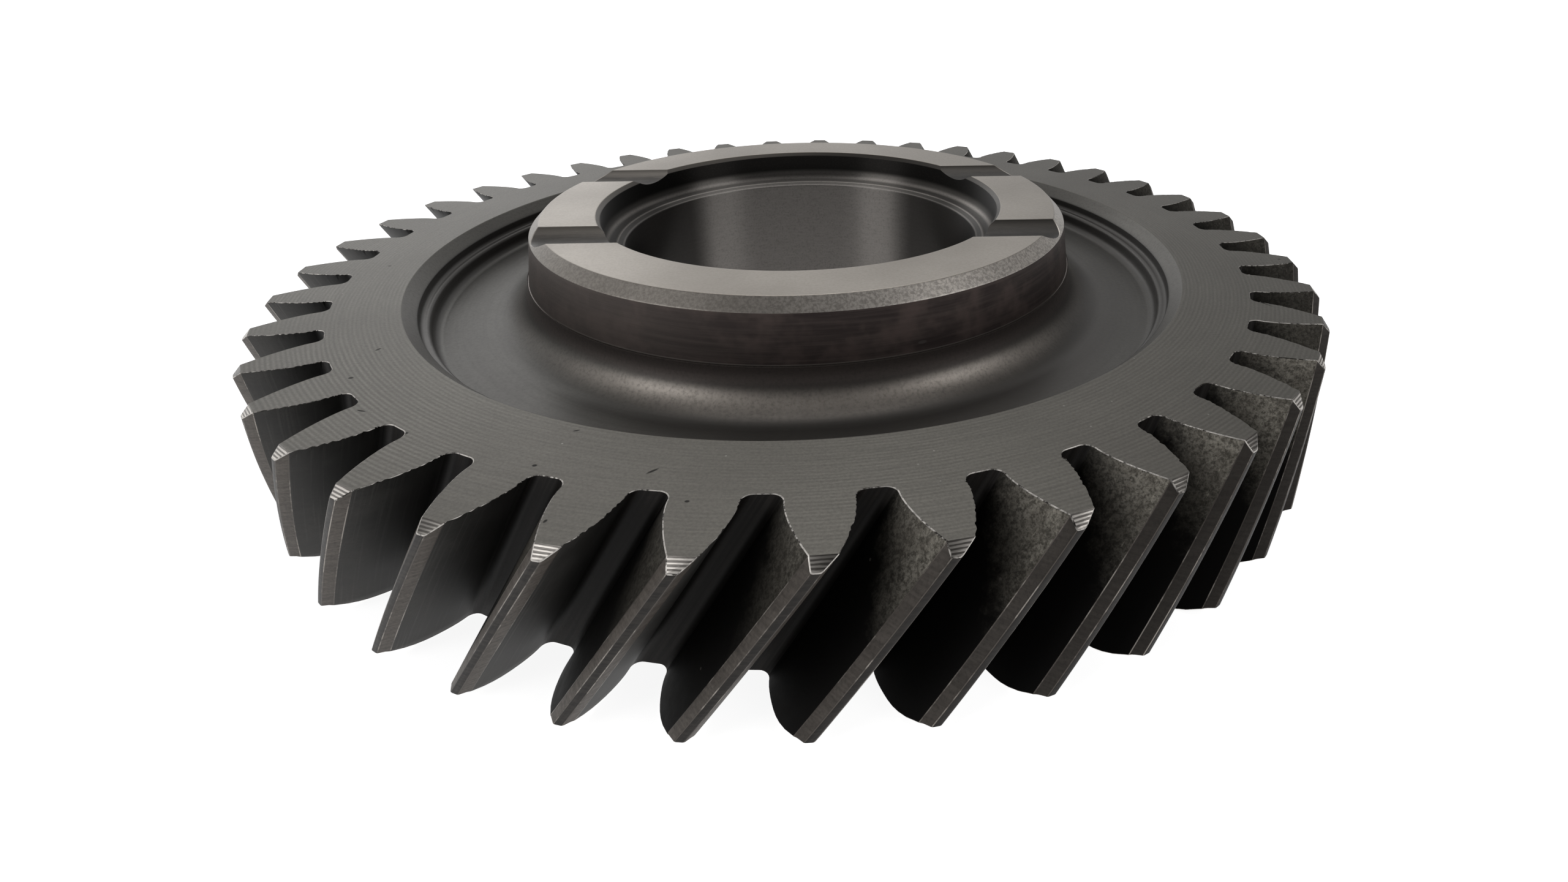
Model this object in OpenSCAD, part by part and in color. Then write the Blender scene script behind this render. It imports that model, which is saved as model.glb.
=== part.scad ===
// Helical transmission gear, one machined steel forging.
// Millimetres, axis along +Z, origin on the axis at the lower face of the rim.

/* [Teeth] */
// Number of teeth
teeth = 41; // [38:1:56]
// Normal module
normal_module = 2.3; // [2.1:0.05:2.8]
// Normal pressure angle in degrees
pressure_angle = 15; // [14.5:0.5:17]
// Right-hand helix angle at the reference circle in degrees
helix_angle = 32.3; // [28:0.1:36]
// Height of the teeth above the reference circle
addendum = 3.8; // [2.6:0.05:4]
// Depth of the tooth gaps below the reference circle
dedendum = 3.7; // [2.8:0.05:4.2]
// Thinning of each tooth at the reference circle
backlash = 0.04; // [0:0.01:0.2]
// Radius at the foot of each flank
root_fillet = 0.9; // [0.5:0.05:1]
// Width of the flat land along each tooth crest
crest_land = 0.75; // [0.4:0.05:1.1]
// Radial depth of the two chamfers along each tooth crest
crest_chamfer = 0.75; // [0.3:0.05:1]
// Chamfer at both ends of the tooth crests
tip_chamfer = 0.8; // [0.3:0.05:1.5]
// Angle of the first tooth on the upper face
tooth_phase = 1; // [0:0.1:8]

/* [Rim and web] */
// Width of the toothed face
face_w = 16.7; // [15:0.1:24]
// Radial thickness of the rim between the tooth gaps and the web recess
rim_wall = 6.9; // [4:0.1:8]
// Chamfer round the mouth of the web recess
recess_chamfer = 1.3; // [0.5:0.1:1.8]
// Depth of the ledge that the recess wall stands on
ledge_depth = 2.45; // [2.1:0.05:3]
// Width of that ledge
ledge_w = 1; // [1:0.05:1.6]
// Radius of the rounded ledge and of the corner behind it
ledge_round = 0.45; // [0.2:0.05:0.5]
// Thickness of the web
web_t = 7.9; // [4:0.1:9.5]
// Radius between the ledge and the web
web_fillet = 0.9; // [0.4:0.1:1.1]
// Radius of the broad sweep from the web up to the hub
sweep_radius = 4.2; // [2:0.1:4.3]

/* [Hub] */
// Radius of the hub at its foot
hub_foot_r = 32.4; // [30:0.1:35]
// Draft of the hub side in degrees
hub_draft = 8.5; // [0:0.5:10]
// Width of the fine line where the hub side meets the sweep
hub_line = 0.12; // [0.05:0.01:0.3]
// Height of the hub above the rim face
hub_rise = 6; // [4:0.1:12]
// Chamfer round the top of the hub
hub_chamfer = 1.2; // [0.4:0.1:2]

/* [Bore] */
// Radius of the bore
bore_r = 21.4; // [16:0.1:22]
// Chamfer at the lower end of the bore
bore_chamfer = 0.8; // [0.3:0.1:2]
// Width of the shallow lead-in at the upper end of the bore
lead_w = 0.9; // [0.3:0.1:1]
// Drop of that lead-in
lead_drop = 0.35; // [0.1:0.05:1]
// Width of the counterbore step round the bore
counterbore_step = 2.4; // [2.2:0.1:4]
// Depth of the counterbore below the hub face
counterbore_depth = 3.9; // [2.5:0.1:5.5]
// Radius in the corner of the counterbore
counterbore_fillet = 1.3; // [0.5:0.1:1.3]
// Small chamfer at the mouth of the counterbore
counterbore_chamfer = 0.45; // [0.1:0.05:0.8]

/* [Oil grooves] */
// Width of the two grooves milled across the hub face
groove_w = 5.8; // [3:0.1:7]
// Depth of the grooves
groove_depth = 1.1; // [0.5:0.1:1.4]
// Distance of each groove from the middle of the hub
groove_offset = 12.25; // [8:0.25:14]

/* [Hidden] */
$fn = 128;

// Overlap that keeps cutters and joined sections clear of shared faces
over = 0.4;
// Facets along each involute, round each root fillet and along the face
flank_steps = 4;
fillet_steps = 3;
helix_steps = 3;

// Tooth geometry in the plane of rotation
pitch = 360 / teeth;
ref_r = teeth * normal_module / (2 * cos(helix_angle));
tip_r = ref_r + addendum;
root_r = ref_r - dedendum;
plane_angle = atan(tan(pressure_angle) / cos(helix_angle));
base_r = ref_r * cos(plane_angle);
twist_per_mm = tan(helix_angle) / ref_r * 180 / PI;
crest_r = tip_r - crest_chamfer;
flank_foot_r = max(base_r, root_r + root_fillet);

// Heights above the lower face, and half sizes about the middle plane
half_w = face_w / 2;
half_web = web_t / 2;
hub_top = face_w + hub_rise;
seat_z = hub_top - counterbore_depth;
line_z = half_w + half_web + sweep_radius;

// Radii of the turned blank
mouth_r = root_r - rim_wall;
wall_r = mouth_r - recess_chamfer;
ledge_r = wall_r - ledge_w;
counterbore_r = bore_r + counterbore_step;
hub_neck_z = hub_top - hub_chamfer;
hub_neck_r = hub_foot_r - (hub_neck_z - line_z) * tan(hub_draft);

// Half width of a tooth, as an angle, at radius r on the involute
function involute(angle) = tan(angle) * 180 / PI - angle;
function tooth_half(r) =
    90 / teeth - backlash / (2 * ref_r) * 180 / PI
    + involute(plane_angle) - involute(acos(min(1, base_r / r)));
function gap_half(r) = pitch / 2 - tooth_half(r);
function polar(r, angle) = [r * cos(angle), r * sin(angle)];

// One side of a tooth gap, from outside the tip circle down to the root
land_half = crest_land / (2 * tip_r) * 180 / PI;
crest_corner = polar(tip_r, pitch / 2 - land_half);
crest_start = polar(crest_r, gap_half(crest_r));
flare = crest_corner + 2 * over * (crest_corner - crest_start) / norm(crest_corner - crest_start);
fillet_turn = asin(root_fillet / (root_r + root_fillet));
fillet_centre = polar(root_r + root_fillet, gap_half(flank_foot_r) - fillet_turn);
flank = [for (i = [flank_steps:-1:0])
    let (r = flank_foot_r + (crest_r - flank_foot_r) * pow(i / flank_steps, 1.4))
    polar(r, gap_half(r))];
foot = [for (i = [0:fillet_steps])
    let (turn = 90 + gap_half(flank_foot_r)
        + (90 - fillet_turn) * i / fillet_steps)
    fillet_centre + polar(root_fillet, turn)];
gap_side = concat([flare], flank, foot);
gap_points = concat(gap_side,
    [for (i = [len(gap_side) - 1:-1:0]) [gap_side[i][0], -gap_side[i][1]]]);

// A helical cutter the shape of the space between two teeth
module tooth_gap() {
    length = face_w + 2 * over;
    translate([0, 0, -over])
        rotate(-twist_per_mm * (face_w + over))
            linear_extrude(height = length, twist = -twist_per_mm * length,
                slices = helix_steps, segments = len(gap_points))
                polygon(gap_points);
}

// Two straight grooves across the hub face, round in section
module oil_grooves() {
    groove_r = (groove_w * groove_w / 4 + groove_depth * groove_depth) / (2 * groove_depth);
    for (side = [-1, 1])
        translate([0, side * groove_offset, hub_top - groove_depth + groove_r])
            rotate([0, 90, 0])
                cylinder(h = 2 * tip_r, r = groove_r, center = true);
}

// Half of the rim above the middle plane, with the recess mouth and its ledge
module rim_half_section() {
    polygon([
        [wall_r, 0],
        [tip_r, 0],
        [tip_r, half_w - tip_chamfer],
        [tip_r - tip_chamfer, half_w],
        [mouth_r, half_w],
        [wall_r, half_w - recess_chamfer]
    ]);
    ledge_z = half_w - ledge_depth;
    translate([ledge_r, 0])
        square([ledge_w + over, ledge_z - ledge_round]);
    translate([ledge_r + ledge_round, 0])
        square([ledge_w - ledge_round + over, ledge_z]);
    translate([ledge_r + ledge_round, ledge_z - ledge_round])
        circle(r = ledge_round);
    difference() {
        translate([wall_r - ledge_round, ledge_z - over])
            square(ledge_round + over);
        translate([wall_r - ledge_round, ledge_z + ledge_round])
            circle(r = ledge_round);
    }
}

// Half of the web above the middle plane, with its fillet and the sweep to the hub
module web_half_section() {
    translate([hub_foot_r - over, 0])
        square([ledge_r - hub_foot_r + 2 * over, half_web]);
    difference() {
        translate([ledge_r - web_fillet, half_web - over])
            square(web_fillet + over);
        translate([ledge_r - web_fillet, half_web + web_fillet])
            circle(r = web_fillet);
    }
    sweep_foot = hub_foot_r + hub_line;
    difference() {
        translate([hub_foot_r - over, 0])
            square([sweep_radius + hub_line + over, half_web + sweep_radius]);
        translate([sweep_foot + sweep_radius, half_web + sweep_radius])
            circle(r = sweep_radius);
    }
}

// Hub from the lower face up to the hub face, with bore and counterbore
module hub_section() {
    polygon([
        [bore_r + bore_chamfer, 0],
        [hub_foot_r, 0],
        [hub_foot_r, line_z],
        [hub_neck_r, hub_neck_z],
        [hub_neck_r - hub_chamfer, hub_top],
        [counterbore_r + counterbore_chamfer, hub_top],
        [counterbore_r, hub_top - counterbore_chamfer],
        [counterbore_r, seat_z],
        [bore_r + lead_w, seat_z],
        [bore_r, seat_z - lead_drop],
        [bore_r, bore_chamfer]
    ]);
    difference() {
        translate([counterbore_r - counterbore_fillet, seat_z - over])
            square(counterbore_fillet + over);
        translate([counterbore_r - counterbore_fillet, seat_z + counterbore_fillet])
            circle(r = counterbore_fillet);
    }
}

// The blank as it comes off the lathe, before the teeth are cut
module turned_blank() {
    rotate_extrude() {
        hub_section();
        for (flip = [0, 1])
            translate([0, half_w])
                mirror([0, flip]) {
                    rim_half_section();
                    web_half_section();
                }
    }
}

// The whole gear
module gear() {
    color([0.36, 0.35, 0.34])
        difference() {
            turned_blank();
            for (i = [0:teeth - 1])
                rotate(tooth_phase + (i + 0.5) * pitch)
                    tooth_gap();
            oil_grooves();
        }
}

gear();
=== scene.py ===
import math

import bpy
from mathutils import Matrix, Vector


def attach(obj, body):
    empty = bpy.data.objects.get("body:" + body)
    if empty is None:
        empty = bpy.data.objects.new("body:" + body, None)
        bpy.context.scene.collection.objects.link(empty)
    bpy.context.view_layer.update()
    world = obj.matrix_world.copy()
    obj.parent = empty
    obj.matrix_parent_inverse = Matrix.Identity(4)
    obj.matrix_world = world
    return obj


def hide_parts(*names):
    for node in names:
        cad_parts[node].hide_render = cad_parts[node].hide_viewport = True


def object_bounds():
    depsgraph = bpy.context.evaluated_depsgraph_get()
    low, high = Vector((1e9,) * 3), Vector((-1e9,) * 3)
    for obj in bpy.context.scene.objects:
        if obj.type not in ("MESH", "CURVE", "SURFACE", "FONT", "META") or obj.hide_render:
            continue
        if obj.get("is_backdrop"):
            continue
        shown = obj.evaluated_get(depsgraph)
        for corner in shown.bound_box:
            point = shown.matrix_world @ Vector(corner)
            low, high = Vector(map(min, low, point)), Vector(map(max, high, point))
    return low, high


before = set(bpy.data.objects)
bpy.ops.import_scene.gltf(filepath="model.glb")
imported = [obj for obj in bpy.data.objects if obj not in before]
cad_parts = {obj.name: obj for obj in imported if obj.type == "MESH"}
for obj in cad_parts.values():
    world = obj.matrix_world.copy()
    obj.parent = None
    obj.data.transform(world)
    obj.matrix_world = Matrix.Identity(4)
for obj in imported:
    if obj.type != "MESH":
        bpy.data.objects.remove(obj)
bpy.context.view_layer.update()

# The camera stands low and close in front of the gear, as the photographer did, with a
# wide lens. Its shift is the one that the picture's own framing needs.
LENS_MM, SENSOR_MM = 19.79, 36.0
PICTURE_WIDTH, PICTURE_HEIGHT = 2560, 1440
OPTICAL_CENTRE = (1419.6, 513.9)
CAMERA_PLACE = (0.004653, -0.102458, 0.052967)
CAMERA_TURN = (65.835, 0.2496, -2.1668)
camera_data = bpy.data.cameras.new("camera")
camera_data.lens = LENS_MM
camera_data.sensor_width = SENSOR_MM
camera_data.sensor_fit = "HORIZONTAL"
camera_data.shift_x = (PICTURE_WIDTH / 2 - OPTICAL_CENTRE[0]) / PICTURE_WIDTH
camera_data.shift_y = (OPTICAL_CENTRE[1] - PICTURE_HEIGHT / 2) / PICTURE_WIDTH
camera_data.clip_start = 0.005
camera_data.clip_end = 20.0
camera = bpy.data.objects.new("camera", camera_data)
camera.location = CAMERA_PLACE
camera.rotation_euler = [math.radians(angle) for angle in CAMERA_TURN]
bpy.context.scene.collection.objects.link(camera)
bpy.context.scene.camera = camera
bpy.context.scene.view_settings.view_transform = "Standard"

# The table is a round pale sheet in a pale room, which is brighter behind the gear on the
# left, and dimmer overhead and behind the photographer. Square softboxes hang overhead,
# behind the gear and at both sides.
TABLE_RADIUS = 1.6
SHEET_GREY = 0.62
SHEET_SHINE = 0.9
ROOM_LIGHT = 0.4
BRIGHT_SIDE = (-0.75, 0.66, 0.0)
DIM_WALL, DIM_CEILING = 0.34, 0.5
bpy.ops.object.select_all(action="DESELECT")
bpy.ops.mesh.primitive_circle_add(vertices=96, radius=TABLE_RADIUS, fill_type="NGON", location=(0, 0, 0))
table = bpy.context.object
table.name = "table_sheet"
table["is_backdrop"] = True


class Number:
    """A number that changes from place to place. Arithmetic on it adds Math nodes."""

    def __init__(self, nodes, socket):
        self.nodes, self.socket = nodes, socket

    def math(self, operation, *others):
        """Result of a Math node on this number and the others."""
        return self.nodes.math(operation, self, *others)

    def __add__(self, other):
        return self.math("ADD", other)

    def __sub__(self, other):
        return self.math("SUBTRACT", other)

    def __rsub__(self, other):
        return self.nodes.math("SUBTRACT", other, self)

    def __mul__(self, other):
        return self.math("MULTIPLY", other)

    __radd__, __rmul__ = __add__, __mul__

    def between(self, start, end, low=0.0, high=1.0):
        """Eases from low to high as this number goes from start to end."""
        node = self.nodes.node(
            "ShaderNodeMapRange", {"interpolation_type": "SMOOTHSTEP"},
            {"Value": self, "From Min": start, "From Max": end, "To Min": low, "To Max": high})
        return Number(self.nodes, node.outputs["Result"])


class Nodes:
    """The node tree of a material or of the room."""

    def __init__(self, owner):
        owner.use_nodes = True
        self.tree = owner.node_tree

    def node(self, kind, settings=None, inputs=None):
        """Adds a node, then its settings, then the values or links of its sockets."""
        node = self.tree.nodes.new(kind)
        for key, value in (settings or {}).items():
            setattr(node, key, value)
        return self.feed(node, inputs or {})

    def feed(self, node, inputs):
        """Gives sockets of a node their values or links."""
        for key, value in inputs.items():
            if isinstance(value, Number):
                value = value.socket
            if isinstance(value, bpy.types.NodeSocket):
                self.tree.links.new(value, node.inputs[key])
            else:
                node.inputs[key].default_value = value
        return node

    def math(self, operation, *terms):
        """Result of a Math node on numbers."""
        node = self.node("ShaderNodeMath", {"operation": operation}, dict(enumerate(terms)))
        return Number(self, node.outputs[0])

    def measure(self, operation, *vectors):
        """A number that Vector Math reads off vectors, such as a length."""
        node = self.node("ShaderNodeVectorMath", {"operation": operation}, dict(enumerate(vectors)))
        return Number(self, node.outputs["Value"])

    def part(self, vector, axis):
        """The X, Y or Z of a vector, as a number."""
        return Number(self, self.node("ShaderNodeSeparateXYZ", {}, {0: vector}).outputs[axis])


def seen_directly(nodes):
    """1 for rays that show the background: camera, glossy and through glass."""
    path = nodes.node("ShaderNodeLightPath")
    shown = Number(nodes, path.outputs["Is Camera Ray"])
    for ray in ("Is Glossy Ray", "Is Transmission Ray"):
        shown = shown.math("MAXIMUM", path.outputs[ray])
    return shown


sheet = bpy.data.materials.new("pale_sheet")
sheet_nodes = Nodes(sheet)
sheet_nodes.feed(sheet.node_tree.nodes["Principled BSDF"], {
    "Base Color": (SHEET_GREY, SHEET_GREY, SHEET_GREY, 1), "Roughness": 0.9,
    "Specular IOR Level": 0.1, "Emission Color": (1, 1, 1, 1),
    "Emission Strength": seen_directly(sheet_nodes) * SHEET_SHINE})
table.data.materials.append(sheet)

world = bpy.data.worlds.new("studio")
bpy.context.scene.world = world
room = Nodes(world)
direction = room.node("ShaderNodeTexCoord").outputs["Generated"]
to_bright_side = room.measure("DOT_PRODUCT", direction, BRIGHT_SIDE)
walls = to_bright_side.between(-0.5, 0.95, low=DIM_WALL, high=1.0)
walls = walls * room.part(direction, "Z").between(0.30, 0.75, low=1.0, high=DIM_CEILING)
straight = room.node("ShaderNodeLightPath").outputs["Is Camera Ray"]
room.feed(world.node_tree.nodes["Background"], {
    "Color": walls.math("MAXIMUM", straight),
    "Strength": seen_directly(room).between(0.0, 1.0, low=ROOM_LIGHT, high=1.0)})


def softbox(name, place, size, watts):
    """A square area lamp at place, turned towards the gear."""
    data = bpy.data.lights.new(name, "AREA")
    data.size = size
    data.energy = watts
    lamp = bpy.data.objects.new(name, data)
    lamp.location = place
    lamp.rotation_euler = Vector(place).to_track_quat("Z", "Y").to_euler()
    bpy.context.scene.collection.objects.link(lamp)


softbox("softbox_overhead", (0.0, 0.32, 0.68), size=0.5, watts=2.2)
softbox("softbox_behind", (-0.45, 0.75, 0.34), size=0.5, watts=0.8)
softbox("softbox_left", (-0.60, -0.40, 0.46), size=0.36, watts=1.3)
softbox("softbox_right", (0.62, -0.30, 0.46), size=0.36, watts=1.0)


# The toothed rim: 41 right-hand helical teeth, hobbed in one turned steel forging. One
# tooth is drawn in section, drawn up along the helix and copied round. Sizes are in
# millimetres and angles in radians.
MM = 0.001
TEETH = 41
FACE_W = 16.7
MODULE = 2.3
HELIX = math.radians(32.3)
PRESSURE = math.radians(15)
ADDENDUM, DEDENDUM = 3.8, 3.7
BACKLASH = 0.04
ROOT_FILLET = 0.9
CREST_LAND = 0.75
CREST_CHAMFER = 0.75
CREST_SOFT = 0.16
TIP_CHAMFER, TIP_MARGIN = 0.8, 0.15
TOOTH_PHASE = math.radians(1.0)
LOWER_END_DROP, LOWER_END_ROWS = 1.15, 5
RIM_WALL = 6.9
RING_MARGIN = 0.25
LAND_STEPS, CREST_STEPS, FLANK_STEPS, FILLET_STEPS = 3, 2, 9, 7
FLANK_SPREAD = 0.8
HELIX_STEPS, RING_STEPS = 14, 8
# Two places closer together than this are one
SAME = 0.003

pitch = 2 * math.pi / TEETH
ref_r = TEETH * MODULE / (2 * math.cos(HELIX))
tip_r = ref_r + ADDENDUM
root_r = ref_r - DEDENDUM
crest_r = tip_r - CREST_CHAMFER
cone_r = tip_r - TIP_CHAMFER
mouth_r = root_r - RIM_WALL
ring_r = mouth_r + RING_MARGIN
plane_angle = math.atan(math.tan(PRESSURE) / math.cos(HELIX))
base_r = ref_r * math.cos(plane_angle)
foot_r = max(base_r, root_r + ROOT_FILLET)
turn_per_mm = math.tan(HELIX) / ref_r


def involute(angle):
    return math.tan(angle) - angle


def tooth_half(r):
    """Half width of a tooth, as an angle, at radius r on the involute."""
    start = math.pi / (2 * TEETH) - BACKLASH / (2 * ref_r) + involute(plane_angle)
    return start - involute(math.acos(min(1, base_r / r)))


def polar(r, angle):
    return Vector((r * math.cos(angle), r * math.sin(angle)))


def toward(start, end, distance):
    return start + (end - start).normalized() * distance


def eased(start, corner, end, steps):
    """Points of a soft corner from start to end, both included."""
    return [start * (1 - t) ** 2 + corner * 2 * t * (1 - t) + end * t * t
            for t in (i / steps for i in range(steps + 1))]


# One side of the tooth section: the soft corner of the land, the soft corner above the
# flank, the flank, the root fillet and the floor as far as the middle of the gap
land_corner = polar(tip_r, CREST_LAND / (2 * tip_r))
crest_corner = polar(crest_r, tooth_half(crest_r))
land_edge = eased(land_corner - Vector((0, CREST_SOFT)), land_corner,
                  toward(land_corner, crest_corner, CREST_SOFT), LAND_STEPS)
crest_edge = eased(toward(crest_corner, land_corner, CREST_SOFT), crest_corner,
                   polar(cone_r, tooth_half(cone_r)), CREST_STEPS)[:-1]
flank_radii = [cone_r + (foot_r - cone_r) * (i / FLANK_STEPS) ** FLANK_SPREAD for i in range(FLANK_STEPS + 1)]
flank = [polar(r, tooth_half(r)) for r in flank_radii]
fillet_turn = math.asin(ROOT_FILLET / (root_r + ROOT_FILLET))
fillet_centre = polar(root_r + ROOT_FILLET, tooth_half(foot_r) + fillet_turn)
fillet = []
for i in range(FILLET_STEPS + 1):
    around = tooth_half(foot_r) - math.pi / 2 - (math.pi / 2 - fillet_turn) * i / FILLET_STEPS
    fillet.append(fillet_centre + ROOT_FILLET * polar(1, around))
floor = [polar(root_r, (tooth_half(foot_r) + fillet_turn + pitch / 2) / 2), polar(root_r, pitch / 2)]
side = land_edge + crest_edge + flank + fillet + floor
ring_arc = [polar(ring_r, pitch / 2 - pitch * i / RING_STEPS) for i in range(RING_STEPS + 1)]
outline = side + ring_arc + [Vector((p.x, -p.y)) for p in reversed(side)]


def draw(points, upright, name):
    """A chain of edges through points, drawn from a single corner, lying flat or standing."""
    corners = [Vector((p.x, 0, p.y)) * MM if upright else Vector((p.x, p.y, 0)) * MM for p in points]
    bpy.ops.object.select_all(action="DESELECT")
    bpy.ops.mesh.primitive_plane_add(size=MM, location=corners[0])
    drawn = bpy.context.object
    drawn.name = drawn.data.name = name
    bpy.ops.object.transform_apply(location=True, rotation=True, scale=True)
    bpy.ops.object.mode_set(mode="EDIT")
    bpy.ops.mesh.select_mode(type="VERT")
    bpy.ops.mesh.select_all(action="SELECT")
    bpy.ops.mesh.merge(type="CENTER")
    for here, there in zip(corners, corners[1:]):
        bpy.ops.mesh.extrude_region_move(TRANSFORM_OT_translate={"value": there - here})
    bpy.ops.mesh.select_all(action="SELECT")
    return drawn


def turn(angle):
    """Turns what is selected in edit mode about the axis of the gear, clockwise from above."""
    bpy.ops.transform.rotate(value=angle, orient_axis="Z", center_override=(0, 0, 0))


def pick(piece, kind, test):
    """Selects the vertices, edges or faces of piece that pass test, and nothing else."""
    bpy.ops.object.mode_set(mode="EDIT")
    bpy.ops.mesh.select_mode(type=kind)
    bpy.ops.mesh.select_all(action="DESELECT")
    bpy.ops.object.mode_set(mode="OBJECT")
    mesh = piece.data
    for part in {"VERT": mesh.vertices, "EDGE": mesh.edges, "FACE": mesh.polygons}[kind]:
        part.select = test(part)
    bpy.ops.object.mode_set(mode="EDIT")


def reach(place):
    """Distance from the axis, in millimetres."""
    return math.hypot(place[0], place[1]) / MM


def merge_doubles():
    """Merges vertices of the piece in edit mode that lie at the same place."""
    bpy.ops.mesh.select_all(action="SELECT")
    bpy.ops.mesh.remove_doubles(threshold=SAME * MM)


def on_circle(vertex, z, r):
    """True for a vertex at height z and radius r."""
    return abs(vertex.co.z / MM - z) < SAME and abs(reach(vertex.co) - r) < SAME


gear = draw(outline, upright=False, name="helical_gear")
bpy.ops.mesh.edge_face_add()
bpy.ops.mesh.select_mode(type="FACE")
end_zone = TIP_CHAMFER + TIP_MARGIN
inner_w = FACE_W - 2 * end_zone
levels = [0] + [end_zone + inner_w * i / HELIX_STEPS for i in range(HELIX_STEPS + 1)] + [FACE_W]
for lower, upper in zip(levels, levels[1:]):
    bpy.ops.mesh.extrude_region_move(TRANSFORM_OT_translate={"value": (0, 0, (upper - lower) * MM)})
    turn(-turn_per_mm * (upper - lower))
bpy.ops.mesh.select_all(action="SELECT")
bpy.ops.mesh.normals_make_consistent(inside=False)
bpy.ops.object.mode_set(mode="OBJECT")

# The ends of the teeth are chamfered on the lathe, steeply above and in a longer, rounded
# run below: each outer point of the section moves along the helix to the cone.
lower_rows = [point.length for point in flank[:LOWER_END_ROWS]]
for end_z, inward, rows in ((0, 1, lower_rows), (FACE_W, -1, [cone_r])):
    for r in rows:
        pick(gear, "VERT", lambda v: on_circle(v, end_z, r))
        bpy.ops.mesh.vert_connect()
    for point in side:
        drop = point.length - rows[-1]
        if drop < SAME:
            continue
        if end_z == 0:
            drop = LOWER_END_DROP * (drop / (tip_r - rows[-1])) ** 2
        pick(gear, "VERT", lambda v: on_circle(v, end_z, point.length))
        bpy.ops.transform.translate(value=(0, 0, inward * drop * MM))
        turn(-turn_per_mm * inward * drop)

# The cut faces on both sides and at the back of the segment are inside the finished gear
pick(gear, "FACE", lambda f: abs(f.normal.z) < 0.9
     and min(reach(gear.data.vertices[v].co) for v in f.vertices) < (root_r + ring_r) / 2)
bpy.ops.mesh.delete(type="FACE")
bpy.ops.object.mode_set(mode="OBJECT")


class Finish(Nodes):
    """One finish of the steel: a material that reads places on the gear in millimetres."""

    QUARTER_TURN = 0.25

    def __init__(self, name, metallic=0.9, specular=0.5, anisotropic=0.0):
        self.material = bpy.data.materials.new(name)
        super().__init__(self.material)
        self.tree.nodes.clear()
        self.shader = self.node("ShaderNodeBsdfPrincipled", {}, {
            "Metallic": metallic, "Specular IOR Level": specular,
            "Anisotropic": anisotropic, "Anisotropic Rotation": self.QUARTER_TURN if anisotropic else 0.0})
        self.node("ShaderNodeOutputMaterial", {}, {"Surface": self.shader.outputs["BSDF"]})
        object_place = self.node("ShaderNodeTexCoord").outputs["Object"]
        self.place = self.vector("SCALE", object_place, scale=1 / MM)
        flat = self.stretch(self.place, 1, 1, 0)
        self.far = self.measure("LENGTH", flat)
        self.outward = self.vector("NORMALIZE", flat)
        self.high = self.part(self.place, "Z")

    def vector(self, operation, *terms, scale=None):
        """Result of Vector Math that is a vector itself."""
        inputs = dict(enumerate(terms))
        if scale is not None:
            inputs["Scale"] = scale
        return self.node("ShaderNodeVectorMath", {"operation": operation}, inputs).outputs["Vector"]

    def stretch(self, vector, *scales):
        """Place whose pattern is this many times finer along X, Y and Z."""
        return self.vector("MULTIPLY", vector, scales)

    def turned(self, vector, angle):
        """Vector turned about the axis of the gear."""
        return self.node("ShaderNodeVectorRotate", {"rotation_type": "Z_AXIS"}, {
            "Vector": vector, "Angle": angle}).outputs[0]

    def unwound(self):
        """Place turned back along the helix, so that a tooth stands upright in it."""
        return self.turned(self.place, (self.high - FACE_W) * -turn_per_mm)

    def rings(self, around, far=0.0, high=0.0):
        """Place for a pattern that runs round the axis: its detail per millimetre of
        radius and height, and how often it changes on the way round."""
        wide = self.vector("SCALE", self.outward, scale=around)
        steep = self.far * far + self.high * high
        up = self.node("ShaderNodeCombineXYZ", {}, {"Z": steep}).outputs[0]
        return self.vector("ADD", wide, up)

    def round(self, turns, peak_at):
        """Swings between 0 and 1 this many times round the gear, with a peak at an angle
        in degrees."""
        across = self.part(self.place, "X")
        angle = self.part(self.place, "Y").math("ARCTAN2", across) - math.radians(peak_at)
        return (angle * float(turns)).math("COSINE") * 0.5 + 0.5

    def noise(self, vector, scale=1.0, detail=2.0, rough=0.5):
        """Soft random cloud, about 0.5 on average."""
        node = self.node("ShaderNodeTexNoise", {}, {
            "Vector": vector, "Scale": scale, "Detail": detail, "Roughness": rough})
        return Number(self, node.outputs["Fac"])

    def specks(self, vector, scale, size, share):
        """1 in small round places strewn over the surface, the share of cells that has one."""
        cells = self.node("ShaderNodeTexVoronoi", {"feature": "F1"}, {
            "Vector": vector, "Scale": scale, "Randomness": 1.0})
        chosen = self.part(cells.outputs["Color"], "X").between(share, share - 0.02)
        near = Number(self, cells.outputs["Distance"]).between(size, size * 0.6)
        return chosen * near

    def mark(self, middle, size, angle):
        """1 inside one small oval mark on the upper rim face, from the place of its middle,
        its length and width, and its turn in degrees."""
        from_it = self.vector("SUBTRACT", self.place, (*middle, FACE_W))
        oval = self.stretch(self.turned(from_it, math.radians(-angle)), 2 / size[0], 2 / size[1], 1)
        return self.measure("LENGTH", oval).between(1.0, 0.5)

    def blend(self, factor, first, second):
        """Colour first where factor is 0 and second where it is 1."""
        first, second = [c if isinstance(c, bpy.types.NodeSocket) else (*c, 1) for c in (first, second)]
        return self.node("ShaderNodeMix", {"data_type": "RGBA"}, {
            0: factor, 6: first, 7: second}).outputs[2]

    def bump(self, height, depth_mm):
        """Normal of a surface that a height of 1 raises by depth_mm."""
        inputs = {"Height": height, "Distance": depth_mm * MM, "Strength": 1.0}
        return self.node("ShaderNodeBump", {}, inputs).outputs["Normal"]

    def wear(self, colour, roughness, normal=None):
        """Sets what changes over the surface and returns the material."""
        self.feed(self.shader, {"Base Color": colour, "Roughness": roughness})
        if normal is not None:
            self.feed(self.shader, {"Normal": normal})
        return self.material


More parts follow.
